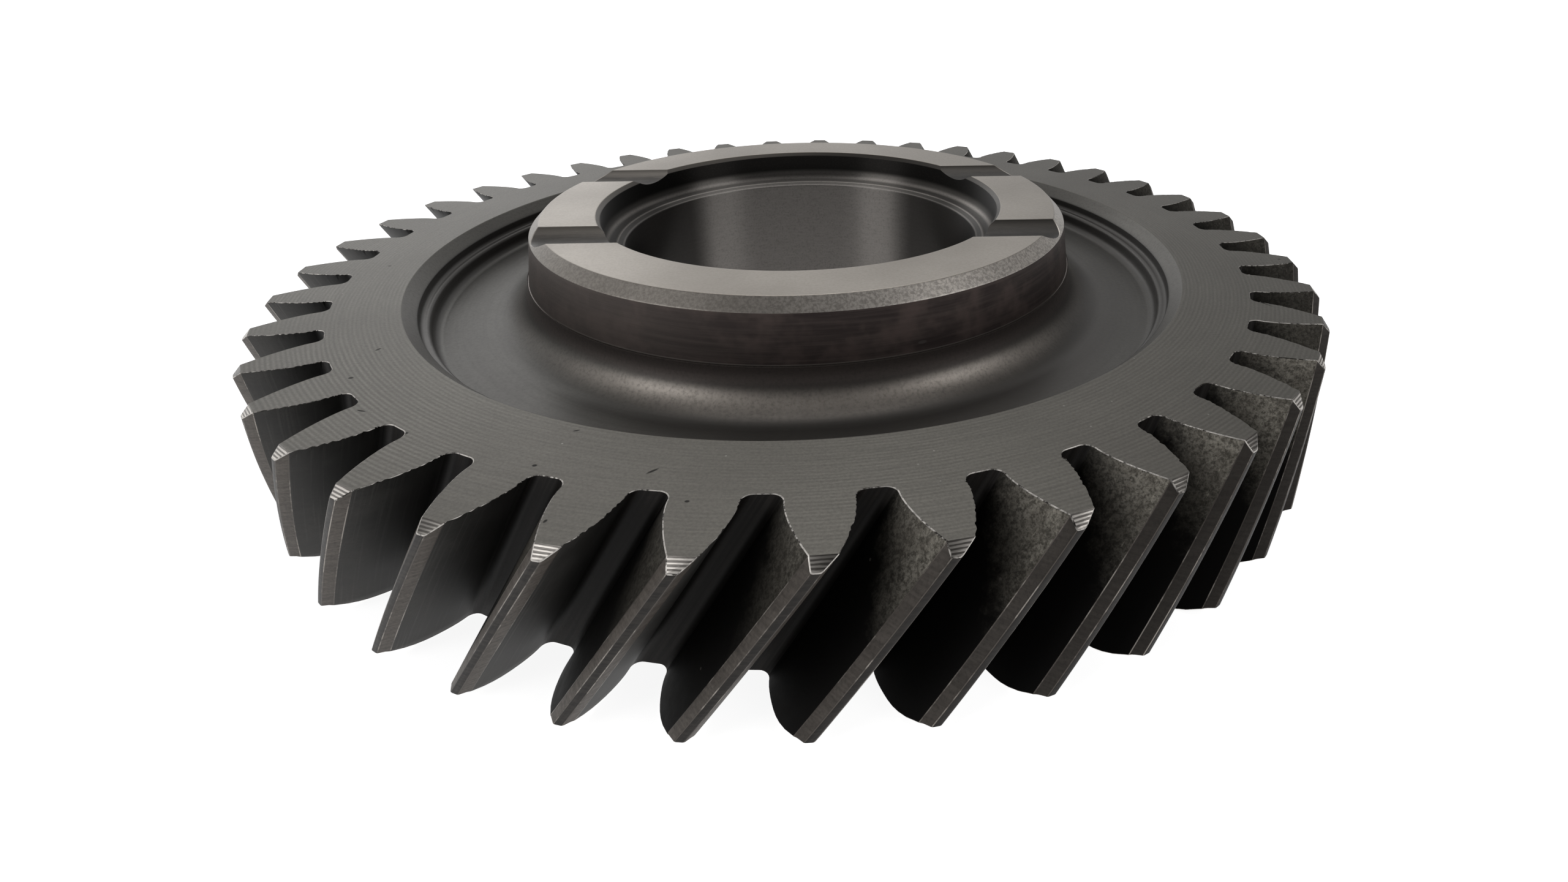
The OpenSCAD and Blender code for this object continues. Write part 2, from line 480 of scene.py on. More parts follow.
# Single nicks on the upper rim face: middle, length and width, and turn in degrees
NICKS = (
    ((-9.4, -48.9), (1.3, 0.30), 40), ((-18.3, -47.8), (0.5, 0.4), 0),
    ((-16.5, -43.0), (0.7, 0.22), 20), ((-6.3, -52.7), (0.45, 0.35), 0),
    ((-15.5, -54.5), (0.5, 0.3), 70), ((-39.0, -33.2), (0.6, 0.45), 0),
    ((-35.2, -39.1), (1.1, 0.25), -20), ((-29.9, -42.8), (0.45, 0.4), 0),
    ((-39.3, -27.5), (0.8, 0.3), 60))


# Pace of the lathe rings on the rim and on the chamfered tips, in radians per millimetre
RING_PACE, TIP_RING_PACE = 15.5, 33.0


def turned_rim():
    """Faced steel: fine even rings left by the lathe tool, cloudy grey, a few dark nicks,
    painted light at the front and a painted sheen on the rings towards the front left.
    """
    dark_grey = (0.077, 0.071, 0.061)
    pale_grey = (0.095, 0.089, 0.077)
    painted_light_grey = (0.135, 0.127, 0.113)
    ridge_grey = (0.142, 0.135, 0.119)
    brushed_grey = (0.054, 0.051, 0.045)
    grain_grey = (0.046, 0.043, 0.038)
    glint_grey = (0.30, 0.29, 0.27)
    nick_black = (0.012, 0.011, 0.010)
    steel = Finish("turned_rim_steel", metallic=0.7, specular=0.4)
    cloud = steel.noise(steel.place, 0.055, detail=3, rough=0.6)
    grain = steel.noise(steel.place, 4.2, detail=3, rough=0.7)
    waver = steel.noise(steel.rings(6.0, far=0.6), 1.0, detail=2)
    feed = steel.far * RING_PACE + waver * 5.0
    tool = feed.math("SINE") * 0.5 + 0.5
    brushed = steel.noise(steel.rings(9.0, far=4.5), 1.0, detail=3, rough=0.6)
    shown = steel.noise(steel.place, 0.035, detail=1).between(0.4, 0.62, low=0.25, high=1.0)
    colour = steel.blend(cloud.between(0.35, 0.65), dark_grey, pale_grey)
    # Painted light: the rim face is lighter towards the front.
    near = steel.round(1, peak_at=-98.0).between(0.80, 1.0)
    colour = steel.blend(near * 0.35, colour, painted_light_grey)
    # Painted sheen: the lathe rings, lighter in random patches, stand out more towards the front left.
    clear = shown * steel.round(1, peak_at=-125.0).between(0.70, 1.0, low=0.42, high=0.85)
    colour = steel.blend(tool * clear, colour, ridge_grey)
    colour = steel.blend(brushed.between(0.35, 0.7, high=0.30), colour, brushed_grey)
    colour = steel.blend(grain.between(0.35, 0.7, high=0.32), colour, grain_grey)
    nicks = steel.specks(steel.stretch(steel.place, 1, 1.8, 1), 0.16, size=0.04, share=0.3)
    for middle, size, angle in NICKS:
        nicks = nicks.math("MAXIMUM", steel.mark(middle, size, angle))
    glints = steel.specks(steel.place, 0.7, size=0.07, share=0.10)
    colour = steel.blend(glints * 0.5, colour, glint_grey)
    colour = steel.blend(nicks * 0.9, colour, nick_black)
    normal = steel.bump(tool * clear * 1.3 + grain * 0.5 + brushed * 0.3 - nicks * 2, depth_mm=0.005)
    return steel.wear(colour, 0.42 + grain * 0.14 + nicks * 0.2, normal)


def chamfered_tip():
    """Bare bright steel with the four or five rings of the chamfering tool, which bit
    deeper on some teeth than on others."""
    dull_ridge = (0.10, 0.094, 0.086)
    bright_ridge = (0.62, 0.585, 0.545)
    dull_valley = (0.050, 0.046, 0.042)
    bright_valley = (0.17, 0.158, 0.146)
    steel = Finish("chamfered_tip_steel", metallic=0.95)
    waver = steel.noise(steel.rings(9.0), 1.0, detail=1)
    feed = steel.high * TIP_RING_PACE + waver * 2.5
    rings = feed.math("SINE")
    broken = steel.noise(steel.rings(60.0, high=9.0), 1.0, detail=3, rough=0.6)
    uneven = steel.noise(steel.place, 0.11, detail=0) - 0.5
    bite = steel.round(12, peak_at=-100.0) * 0.7 + 0.3 + uneven * 0.8
    line = (rings * 0.5 + 0.5) + (broken - 0.5) * 1.1
    ridge = steel.blend(bite.between(0.2, 0.75), dull_ridge, bright_ridge)
    valley = steel.blend(bite.between(0.2, 0.8), dull_valley, bright_valley)
    colour = steel.blend(line.between(0.25, 0.8), valley, ridge)
    normal = steel.bump(line, depth_mm=0.02)
    return steel.wear(colour, 0.32 + broken * 0.15, normal)


def hobbed_crest():
    """Brown-grey crest of a tooth, faintly crossed by the marks of the hob: a dark land
    between two lighter chamfers, with painted shade on the crests towards the front right."""
    dark_chamfer = (0.088, 0.075, 0.064)
    pale_chamfer = (0.125, 0.108, 0.093)
    dark_land = (0.013, 0.011, 0.0098)
    pale_land = (0.028, 0.024, 0.021)
    streak_grey = (0.078, 0.070, 0.063)
    grain_brown = (0.022, 0.020, 0.018)
    painted_shade_black = (0.013, 0.011, 0.010)
    steel = Finish("hobbed_crest_steel", metallic=0.35, specular=0.3)
    upright = steel.unwound()
    along = steel.noise(steel.stretch(upright, 3.5, 3.5, 0.12), 1.0, detail=2)
    across = steel.noise(steel.stretch(upright, 0.35, 0.35, 3.4), 1.0, detail=2, rough=0.6)
    grain = steel.noise(steel.place, 4.0, detail=2, rough=0.6)
    land = steel.far.between(tip_r - 0.10, tip_r - 0.02)
    chamfer = steel.blend(across.between(0.35, 0.65), dark_chamfer, pale_chamfer)
    middle = steel.blend(across.between(0.40, 0.60), dark_land, pale_land)
    colour = steel.blend(land, chamfer, middle)
    colour = steel.blend(along.between(0.45, 0.75, high=0.35), colour, streak_grey)
    colour = steel.blend(grain.between(0.4, 0.8, high=0.4), colour, grain_brown)
    # Painted shade: the crests darken towards the front right, away from the light.
    shaded_side = steel.round(1, peak_at=-35.0).between(0.70, 0.96)
    colour = steel.blend(shaded_side * 0.72, colour, painted_shade_black)
    normal = steel.bump(across * 0.4 + along * 0.6, depth_mm=0.006)
    return steel.wear(colour, 0.46 + grain * 0.15, normal)


def rubbed_line():
    """Thin lines between the strips of a crest, made bright here and there by rubbing."""
    dull_brown = (0.080, 0.070, 0.062)
    rubbed_grey = (0.30, 0.275, 0.248)
    steel = Finish("rubbed_line_steel", metallic=0.8)
    wear_and_highlight = steel.noise(steel.place, 0.9, detail=3, rough=0.7)
    where = steel.noise(steel.place, 0.12, detail=1)
    bare = (wear_and_highlight + (where - 0.5) * 1.2).between(0.42, 0.75)
    colour = steel.blend(bare, dull_brown, rubbed_grey)
    return steel.wear(colour, 0.38 + wear_and_highlight * 0.2)


def hobbed_flank():
    """Upper flank of a tooth: thinly phosphated, with fine streaks along the helix,
    mottled patches and a few small nicks, and painted shade towards the root."""
    dark_film = (0.030, 0.0285, 0.0263)
    pale_film = (0.056, 0.053, 0.049)
    streak_grey = (0.092, 0.088, 0.082)
    grain_black = (0.016, 0.015, 0.014)
    root_shade_black = (0.013, 0.012, 0.011)
    nick_grey = (0.15, 0.14, 0.13)
    steel = Finish("hobbed_flank_steel", metallic=0.25, specular=0.25)
    upright = steel.unwound()
    streaks = steel.noise(steel.stretch(upright, 4.5, 4.5, 0.10), 1.0, detail=2)
    patches = steel.noise(steel.place, 0.22, detail=4, rough=0.62)
    grain = steel.noise(steel.place, 5.0, detail=2, rough=0.6)
    colour = steel.blend(patches.between(0.38, 0.68), dark_film, pale_film)
    colour = steel.blend(streaks.between(0.5, 0.75, high=0.6), colour, streak_grey)
    colour = steel.blend(grain.between(0.4, 0.8, high=0.3), colour, grain_black)
    # Painted shade: darker from near the crest towards the root of the gap.
    gap_shade = (steel.far + (patches - 0.5) * 2.0).between(tip_r - 1.2, tip_r - 5.0)
    colour = steel.blend(gap_shade * 0.75, colour, root_shade_black)
    nicks = steel.specks(steel.place, 0.33, size=0.05, share=0.35)
    colour = steel.blend(nicks * 0.7, colour, nick_grey)
    normal = steel.bump(streaks + grain * 0.5 - nicks, depth_mm=0.005)
    return steel.wear(colour, 0.50 + patches * 0.16, normal)


def shaded_flank():
    """Under flank of a tooth: mottled olive grey with fine scratches towards the upper
    face and the crest. Painted shade blackens it further in, and darkens it on all teeth
    but those at the front right."""
    dark_olive = (0.200, 0.184, 0.157)
    pale_olive = (0.380, 0.355, 0.305)
    mottle_brown = (0.074, 0.067, 0.056)
    scratch_grey = (0.52, 0.49, 0.41)
    under_shade_black = (0.010, 0.009, 0.0075)
    grain_brown = (0.022, 0.020, 0.017)
    gap_shade_black = (0.0022, 0.0019, 0.0017)
    nick_grey = (0.14, 0.13, 0.115)
    steel = Finish("under_flank_steel", metallic=0.05, specular=0.06)
    upright = steel.unwound()
    scratch = steel.noise(steel.stretch(upright, 1.6, 1.6, 0.35), 2.2, detail=4, rough=0.72)
    patches = steel.noise(steel.place, 0.55, detail=4, rough=0.70)
    mottle = steel.noise(steel.place, 2.6, detail=4, rough=0.74)
    grain = steel.noise(steel.place, 6.0, detail=2, rough=0.6)
    # Painted shade: blacker deeper in the gap, below the upper face and in from the crest.
    depth = (FACE_W - steel.high) * 0.75 + (tip_r - steel.far) * 0.85
    gap_shade = (depth + (patches - 0.5) * 5.0).between(1.6, 7.4)
    colour = steel.blend(patches.between(0.36, 0.66), dark_olive, pale_olive)
    colour = steel.blend(mottle.between(0.40, 0.62, high=0.80), colour, mottle_brown)
    colour = steel.blend(scratch.between(0.60, 0.72, high=0.6), colour, scratch_grey)
    # Painted shade: the under flanks darken everywhere but on the teeth at the front right.
    under_shade = steel.round(1, peak_at=-58.0).between(0.975, 0.91)
    colour = steel.blend(under_shade * 0.78, colour, under_shade_black)
    colour = steel.blend(grain.between(0.4, 0.75, high=0.55), colour, grain_brown)
    colour = steel.blend(gap_shade, colour, gap_shade_black)
    nicks = steel.specks(steel.place, 0.33, size=0.05, share=0.25)
    colour = steel.blend(nicks * 0.4, colour, nick_grey)
    normal = steel.bump(scratch + mottle + grain * 0.5 - nicks, depth_mm=0.006)
    return steel.wear(colour, 0.50 + patches * 0.2, normal)


def hobbed_root():
    """Floor of a tooth gap, brown with streaks along the helix, blackened in the deep middle by painted
    shade.
    """
    dark_brown = (0.006, 0.005, 0.0045)
    streak_brown = (0.019, 0.016, 0.0145)
    gap_shade_black = (0.005, 0.0044, 0.004)
    grain_brown = (0.012, 0.011, 0.010)
    steel = Finish("hobbed_root_steel", metallic=0.3, specular=0.18)
    upright = steel.unwound()
    streaks = steel.noise(steel.stretch(upright, 3.0, 3.0, 0.10), 1.0, detail=3)
    grain = steel.noise(steel.place, 5.0, detail=2, rough=0.6)
    colour = steel.blend(streaks.between(0.35, 0.7), dark_brown, streak_brown)
    # Painted shade in the deep middle of the gap.
    gap_shade = steel.high.between(FACE_W, FACE_W - 2.5) * steel.high.between(2.0, 6.0)
    colour = steel.blend(gap_shade * 0.6, colour, gap_shade_black)
    colour = steel.blend(grain.between(0.5, 0.8, high=0.4), colour, grain_brown)
    normal = steel.bump(streaks + grain * 0.4, depth_mm=0.006)
    return steel.wear(colour, 0.48 + grain * 0.12, normal)


def burred_edge():
    """Narrow broken edge round the teeth: bare and bright in places, dark and torn in others."""
    torn_brown = (0.030, 0.027, 0.024)
    bare_steel = (0.50, 0.475, 0.445)
    steel = Finish("burred_edge_steel", metallic=0.9)
    torn = steel.noise(steel.place, 2.4, detail=3, rough=0.7)
    where = steel.noise(steel.place, 0.25, detail=1)
    bare = (torn + where * 0.8).between(0.72, 0.98)
    colour = steel.blend(bare, torn_brown, bare_steel)
    normal = steel.bump(torn, depth_mm=0.02)
    return steel.wear(colour, 0.34 + torn * 0.2, normal)


# Places of the finishes in the list of materials: those of the teeth, then those of the
# blank inside them
RIM, TIP, CREST, RUBBED, FLANK, UNDER_FLANK, ROOT, BURR, RECESS, HUB_SIDE, GROUND, BORE = range(12)
# A face is level, or at least sloping, where its normal points this much up or down
LEVEL, SLOPING = 0.99, 0.65
LINE_HALF, FOOT_MARGIN = 0.012, 0.5
gear.data.materials.clear()
for finish in (turned_rim(), chamfered_tip(), hobbed_crest(), rubbed_line(), hobbed_flank(), shaded_flank(),
               hobbed_root(), burred_edge()):
    gear.data.materials.append(finish)
line_radii = [(a.length + b.length) / 2 for a, b in (land_edge[1:3], (crest_edge[-1], flank[0]))]
for face in gear.data.polygons:
    far = reach(face.center)
    if abs(face.normal.z) > LEVEL:
        face.material_index = RIM
    elif abs(face.normal.z) > SLOPING:
        face.material_index = TIP
    elif any(abs(far - r) < LINE_HALF for r in line_radii):
        face.material_index = RUBBED
    elif far > cone_r:
        face.material_index = CREST
    elif far > foot_r - FOOT_MARGIN:
        face.material_index = FLANK if face.normal.y > 0 else UNDER_FLANK
    else:
        face.material_index = ROOT
bpy.ops.object.mode_set(mode="EDIT")
bpy.ops.mesh.select_all(action="SELECT")
turn(-(TOOTH_PHASE - turn_per_mm * FACE_W))
bpy.ops.mesh.spin(steps=TEETH - 1, dupli=True, angle=pitch * (TEETH - 1), center=(0, 0, 0), axis=(0, 0, 1))
merge_doubles()
bpy.ops.object.mode_set(mode="OBJECT")

# The blank inside the teeth: rim, thin web, tall chamfered hub and bearing bore, turned
# from the forging on both sides. Its section is drawn, spun as on a lathe, and the two
# oil grooves are milled across the hub face.
RECESS_CHAMFER = 1.3
LEDGE_DEPTH, LEDGE_W, LEDGE_ROUND = 2.45, 1.0, 0.45
WEB_T, WEB_FILLET, SWEEP_RADIUS = 7.9, 0.9, 4.2
HUB_FOOT_R, HUB_DRAFT, HUB_LINE = 32.4, math.radians(8.5), 0.12
HUB_RISE, HUB_CHAMFER = 6.0, 1.2
BORE_R, BORE_CHAMFER, LEAD_W, LEAD_DROP = 21.4, 0.8, 0.9, 0.35
COUNTERBORE_STEP, COUNTERBORE_DEPTH = 2.4, 3.9
COUNTERBORE_FILLET, COUNTERBORE_CHAMFER = 1.3, 0.45
GROOVE_W, GROOVE_DEPTH, GROOVE_OFFSET = 5.8, 1.1, 12.25
CUTTER_LENGTH, CUTTER_FACETS = 80, 120
HOLD, SHORTEST_STEP = 0.1, 0.004

hub_top = FACE_W + HUB_RISE
seat_z = hub_top - COUNTERBORE_DEPTH
web_z = (FACE_W + WEB_T) / 2
line_z = web_z + SWEEP_RADIUS
wall_r = mouth_r - RECESS_CHAMFER
ledge_r = wall_r - LEDGE_W
counterbore_r = BORE_R + COUNTERBORE_STEP
hub_neck_z = hub_top - HUB_CHAMFER
hub_neck_r = HUB_FOOT_R - (hub_neck_z - line_z) * math.tan(HUB_DRAFT)


def recess_side(fine):
    """Corners of the upper web recess from the rim to the foot of the hub. Each is its
    radius, its height, the round on it and the steps round that, more where fine is 1."""
    return [
        (ring_r, FACE_W, 0, 0),
        (mouth_r, FACE_W, 0.12, 2),
        (wall_r, FACE_W - RECESS_CHAMFER, 0.12, 2),
        (wall_r, FACE_W - LEDGE_DEPTH, LEDGE_ROUND, 2 + 2 * fine),
        (ledge_r, FACE_W - LEDGE_DEPTH, LEDGE_ROUND, 2 + 3 * fine),
        (ledge_r, web_z, WEB_FILLET, 3 + 3 * fine),
        (HUB_FOOT_R + HUB_LINE, web_z, SWEEP_RADIUS, 8 + 8 * fine),
    ]


hub = [
    (HUB_FOOT_R + HUB_LINE, line_z, 0.04, 2),
    (HUB_FOOT_R, line_z, 0, 0),
    (hub_neck_r, hub_neck_z, 0.12, 2),
    (hub_neck_r - HUB_CHAMFER, hub_top, 0.1, 2),
    (counterbore_r + COUNTERBORE_CHAMFER, hub_top, 0.06, 2),
    (counterbore_r, hub_top - COUNTERBORE_CHAMFER, 0.1, 2),
    (counterbore_r, seat_z, COUNTERBORE_FILLET, 8),
    (BORE_R + LEAD_W, seat_z, 0.06, 2),
    (BORE_R, seat_z - LEAD_DROP, 0.15, 3),
    (BORE_R, BORE_CHAMFER, 0.1, 2),
    (BORE_R + BORE_CHAMFER, 0, 0.08, 2),
    (HUB_FOOT_R, 0, 0.08, 2),
    (HUB_FOOT_R, FACE_W - line_z, 0, 0),
    (HUB_FOOT_R + HUB_LINE, FACE_W - line_z, 0.04, 2),
]
under = [(r, FACE_W - z, radius, steps) for r, z, radius, steps in reversed(recess_side(0))]


def rounded(corners):
    """Points of a section whose corners (r, z, radius, steps) are rounded, each with a
    further point close behind the round, which keeps the flat faces flat."""
    places = [Vector((r, z)) for r, z, radius, steps in corners]
    points = [places[0]]
    for i in range(1, len(corners) - 1):
        radius, steps = corners[i][2:]
        if not radius:
            points.append(places[i])
            continue
        back = places[i - 1] - places[i]
        ahead = places[i + 1] - places[i]
        half = back.angle(ahead) / 2
        back.normalize()
        ahead.normalize()
        centre = places[i] + (back + ahead).normalized() * (radius / math.sin(half))
        first = places[i] + back * (radius / math.tan(half))
        last = places[i] + ahead * (radius / math.tan(half))
        start, end = first - centre, last - centre
        sweep = math.pi - 2 * half
        points.append(first + back * HOLD)
        for k in range(steps + 1):
            share = k / steps
            arm = start * math.sin((1 - share) * sweep) + end * math.sin(share * sweep)
            points.append(centre + arm / math.sin(sweep))
        points.append(last + ahead * HOLD)
    return points + [places[-1]]


section = rounded(recess_side(1) + hub + under)
section = [p for p, q in zip(section, section[1:]) if (p - q).length > SHORTEST_STEP] + [section[-1]]
blank = draw(section, upright=True, name="turned_blank")
pick(blank, "VERT", lambda v: abs(reach(v.co) - ring_r) < SAME)
bpy.ops.mesh.edge_face_add()
bpy.ops.mesh.select_all(action="SELECT")
bpy.ops.mesh.spin(steps=TEETH * RING_STEPS, angle=2 * math.pi, center=(0, 0, 0), axis=(0, 0, 1))
merge_doubles()
bpy.ops.mesh.normals_make_consistent(inside=False)
turn(-(TOOTH_PHASE + pitch / 2))

# The lower mouth of the recess is turned on by less than a step, to meet the points that
# the helix has carried round there
slip = -turn_per_mm * FACE_W % (pitch / RING_STEPS)
lower_mouth_z = RECESS_CHAMFER + 0.2
pick(blank, "VERT", lambda v: v.co.z < lower_mouth_z * MM and reach(v.co) > wall_r - 0.05)
turn(-slip)
bpy.ops.object.mode_set(mode="OBJECT")

groove_r = (GROOVE_W ** 2 / 4 + GROOVE_DEPTH ** 2) / (2 * GROOVE_DEPTH)
for side_y in (-1, 1):
    bpy.ops.object.select_all(action="DESELECT")
    bpy.ops.mesh.primitive_cylinder_add(
        vertices=CUTTER_FACETS, radius=groove_r * MM, depth=CUTTER_LENGTH * MM, rotation=(0, math.pi / 2, 0),
        location=(0, side_y * GROOVE_OFFSET * MM, (hub_top - GROOVE_DEPTH + groove_r) * MM))
    cutter = bpy.context.object
    milling = blank.modifiers.new("milling", "BOOLEAN")
    milling.operation = "DIFFERENCE"
    milling.object = cutter
    milling.solver = "MANIFOLD"
    bpy.context.view_layer.objects.active = blank
    bpy.ops.object.modifier_apply(modifier=milling.name)
    bpy.data.objects.remove(cutter)
bpy.ops.object.select_all(action="DESELECT")
blank.select_set(True)
bpy.context.view_layer.objects.active = blank
pick(blank, "FACE", lambda f: all(abs(reach(blank.data.vertices[v].co) - ring_r) < SAME for v in f.vertices))
bpy.ops.mesh.delete(type="FACE")
bpy.ops.object.mode_set(mode="OBJECT")


def recess_steel():
    """Turned recess under a phosphate coat: smooth grey and faint rings, with painted shade where
    the sweep rises to the hub and in the groove behind the ledge, and a painted highlight low on the sweep."""
    dark_grey = (0.060, 0.057, 0.052)
    pale_grey = (0.080, 0.077, 0.070)
    ring_grey = (0.046, 0.043, 0.039)
    foot_shade_brown = (0.034, 0.030, 0.027)
    sweep_highlight_grey = (0.36, 0.325, 0.29)
    highlight_stroke_bright = (0.55, 0.50, 0.45)
    rise_brown = (0.115, 0.095, 0.088)
    line_bright = (0.26, 0.23, 0.21)
    groove_black = (0.026, 0.024, 0.022)
    mouth_grey = (0.125, 0.119, 0.108)
    grain_grey = (0.042, 0.039, 0.036)
    steel = Finish("turned_recess_steel", metallic=0.7, specular=0.4)
    rings = steel.noise(steel.rings(2.5, far=2.4, high=2.4), 1.0, detail=3, rough=0.6)
    strokes = steel.noise(steel.rings(60.0, far=0.7, high=0.7), 1.0, detail=2, rough=0.6)
    grain = steel.noise(steel.place, 3.2, detail=3, rough=0.65)
    cloud = steel.noise(steel.place, 0.07, detail=2)
    colour = steel.blend(cloud.between(0.35, 0.65), dark_grey, pale_grey)
    colour = steel.blend(rings.between(0.35, 0.75, high=0.5), colour, ring_grey)
    # Painted shade at the foot of the hub, strongest at the front right.
    foot = steel.far.between(HUB_FOOT_R + 11.0, HUB_FOOT_R + 5.0)
    shade = steel.round(1, peak_at=-55.0).between(0.70, 0.97, low=0.25, high=0.80)
    colour = steel.blend(foot * shade, colour, foot_shade_brown)
    # Painted highlight low on the sweep, brightest at the front, with painted streaks along the lathe strokes
    # in it.
    sweep_highlight = steel.high.between(web_z + 0.05, web_z + 1.1) * steel.high.between(web_z + 2.5, web_z + 1.2)
    sweep_highlight = sweep_highlight * steel.round(1, peak_at=-84.0).between(0.78, 0.99, low=0.16, high=1.0)
    colour = steel.blend(sweep_highlight * 0.85, colour, sweep_highlight_grey)
    colour = steel.blend(sweep_highlight * strokes.between(0.4, 0.7) * 0.10, colour, highlight_stroke_bright)
    rise = steel.high.between(web_z + 1.8, web_z + 3.2) * steel.far.between(ledge_r - 2, ledge_r - 4)
    colour = steel.blend(rise * 0.75, colour, rise_brown)
    line = steel.high.between(line_z - 0.10, line_z - 0.03)
    line = line * steel.far.between(HUB_FOOT_R + 0.5, HUB_FOOT_R + 0.2)
    colour = steel.blend(line * 0.4, colour, line_bright)
    # Painted shade in the groove behind the ledge.
    groove = steel.far.between(ledge_r - 1.0, ledge_r - 0.1) * steel.far.between(mouth_r - 0.9, wall_r - 0.1)
    colour = steel.blend(groove * 0.70, colour, groove_black)
    mouth = steel.far.between(wall_r - 0.05, wall_r + 0.2)
    colour = steel.blend(mouth * 0.4, colour, mouth_grey)
    colour = steel.blend(grain.between(0.4, 0.8, high=0.45), colour, grain_grey)
    normal = steel.bump(rings + grain * 0.6, depth_mm=0.006)
    return steel.wear(colour, 0.34 + grain * 0.14, normal)


def hub_side_steel():
    """Dark brown side of the hub, streaked round by the lathe and lightly scratched, with
    painted light on its left side.
    """
    dark_brown = (0.043, 0.032, 0.0305)
    pale_brown = (0.076, 0.059, 0.054)
    cloud_brown = (0.125, 0.093, 0.084)
    lit_side_grey = (0.150, 0.130, 0.118)
    line_bright = (0.26, 0.235, 0.215)
    scratch_grey = (0.12, 0.108, 0.10)
    steel = Finish("turned_hub_steel", metallic=0.7)
    rings = steel.noise(steel.rings(3.0, far=1.0, high=3.0), 1.0, detail=3, rough=0.6)
    cloud = steel.noise(steel.rings(7.0, high=0.25), 1.0, detail=3, rough=0.6)
    grain = steel.noise(steel.place, 3.5, detail=2, rough=0.6)
    colour = steel.blend(rings.between(0.35, 0.7), dark_brown, pale_brown)
    colour = steel.blend(cloud.between(0.44, 0.68, high=0.7), colour, cloud_brown)
    # Painted light: the side of the hub is lighter towards the left.
    lit_side = steel.round(1, peak_at=-165.0).between(0.60, 0.95)
    colour = steel.blend(lit_side * 0.5, colour, lit_side_grey)
    line = steel.high.between(line_z + 0.20, line_z + 0.08)
    colour = steel.blend(line * 0.6, colour, line_bright)
    scratch = steel.specks(steel.rings(10.0, high=0.9), 0.55, size=0.10, share=0.25)
    colour = steel.blend(scratch * 0.5, colour, scratch_grey)
    normal = steel.bump(rings + grain * 0.4, depth_mm=0.006)
    return steel.wear(colour, 0.38 + grain * 0.16, normal)


def ground_hub_steel():
    """Ground top face of the hub, its grainy chamfer with painted sheen and glitter at the
    front right, and the two milled oil grooves, with painted shade towards the right.
    """
    dark_face = (0.222, 0.201, 0.176)
    pale_face = (0.280, 0.256, 0.227)
    grain_grey = (0.150, 0.137, 0.121)
    dark_chamfer = (0.170, 0.155, 0.139)
    pale_chamfer = (0.250, 0.231, 0.208)
    lit_chamfer = (0.31, 0.287, 0.262)
    glitter_bright = (0.54, 0.50, 0.46)
    groove_black = (0.020, 0.018, 0.016)
    groove_grey = (0.042, 0.038, 0.034)
    wall_grey = (0.105, 0.096, 0.086)
    painted_shade_black = (0.016, 0.0145, 0.013)
    steel = Finish("ground_hub_steel", metallic=0.9)
    grain = steel.noise(steel.place, 3.6, detail=3, rough=0.7)
    cloud = steel.noise(steel.place, 0.08, detail=2)
    top = steel.high.between(hub_top - 0.06, hub_top - 0.01)
    colour = steel.blend(cloud.between(0.3, 0.7), dark_face, pale_face)
    colour = steel.blend(grain.between(0.35, 0.8, high=0.22), colour, grain_grey)
    sparkle = steel.noise(steel.place, 3.4, detail=3, rough=0.7)
    # Painted sheen and glitter on the chamfer at the front right.
    lit_side = steel.round(1, peak_at=-48.0).between(0.80, 0.99)
    chamfer = steel.blend(sparkle.between(0.30, 0.70), dark_chamfer, pale_chamfer)
    glitter = steel.blend(sparkle.between(0.36, 0.64), lit_chamfer, glitter_bright)
    chamfer = steel.blend(lit_side, chamfer, glitter)
    brink = hub_top + hub_neck_r - HUB_CHAMFER
    inside = (steel.high + steel.far).between(brink - 0.05, brink - 0.14)
    strokes = steel.noise(steel.stretch(steel.place, 0.35, 3.2, 3.2), 1.0, detail=3, rough=0.6)
    milled = steel.blend(strokes.between(0.3, 0.7), groove_black, groove_grey)
    wall = steel.high.between(hub_top - 0.85, hub_top - 0.30)
    milled = steel.blend(wall, milled, wall_grey)
    # Painted shade: the grooves darken towards the right.
    right = steel.part(steel.place, "X").between(-8.0, 8.0)
    milled = steel.blend(right * 0.72, milled, painted_shade_black)
    below = steel.blend(inside, chamfer, milled)
    colour = steel.blend(top, below, colour)
    normal = steel.bump(grain + (sparkle - grain) * (1.0 - top), depth_mm=0.008)
    return steel.wear(colour, 0.34 + grain * 0.14, normal)


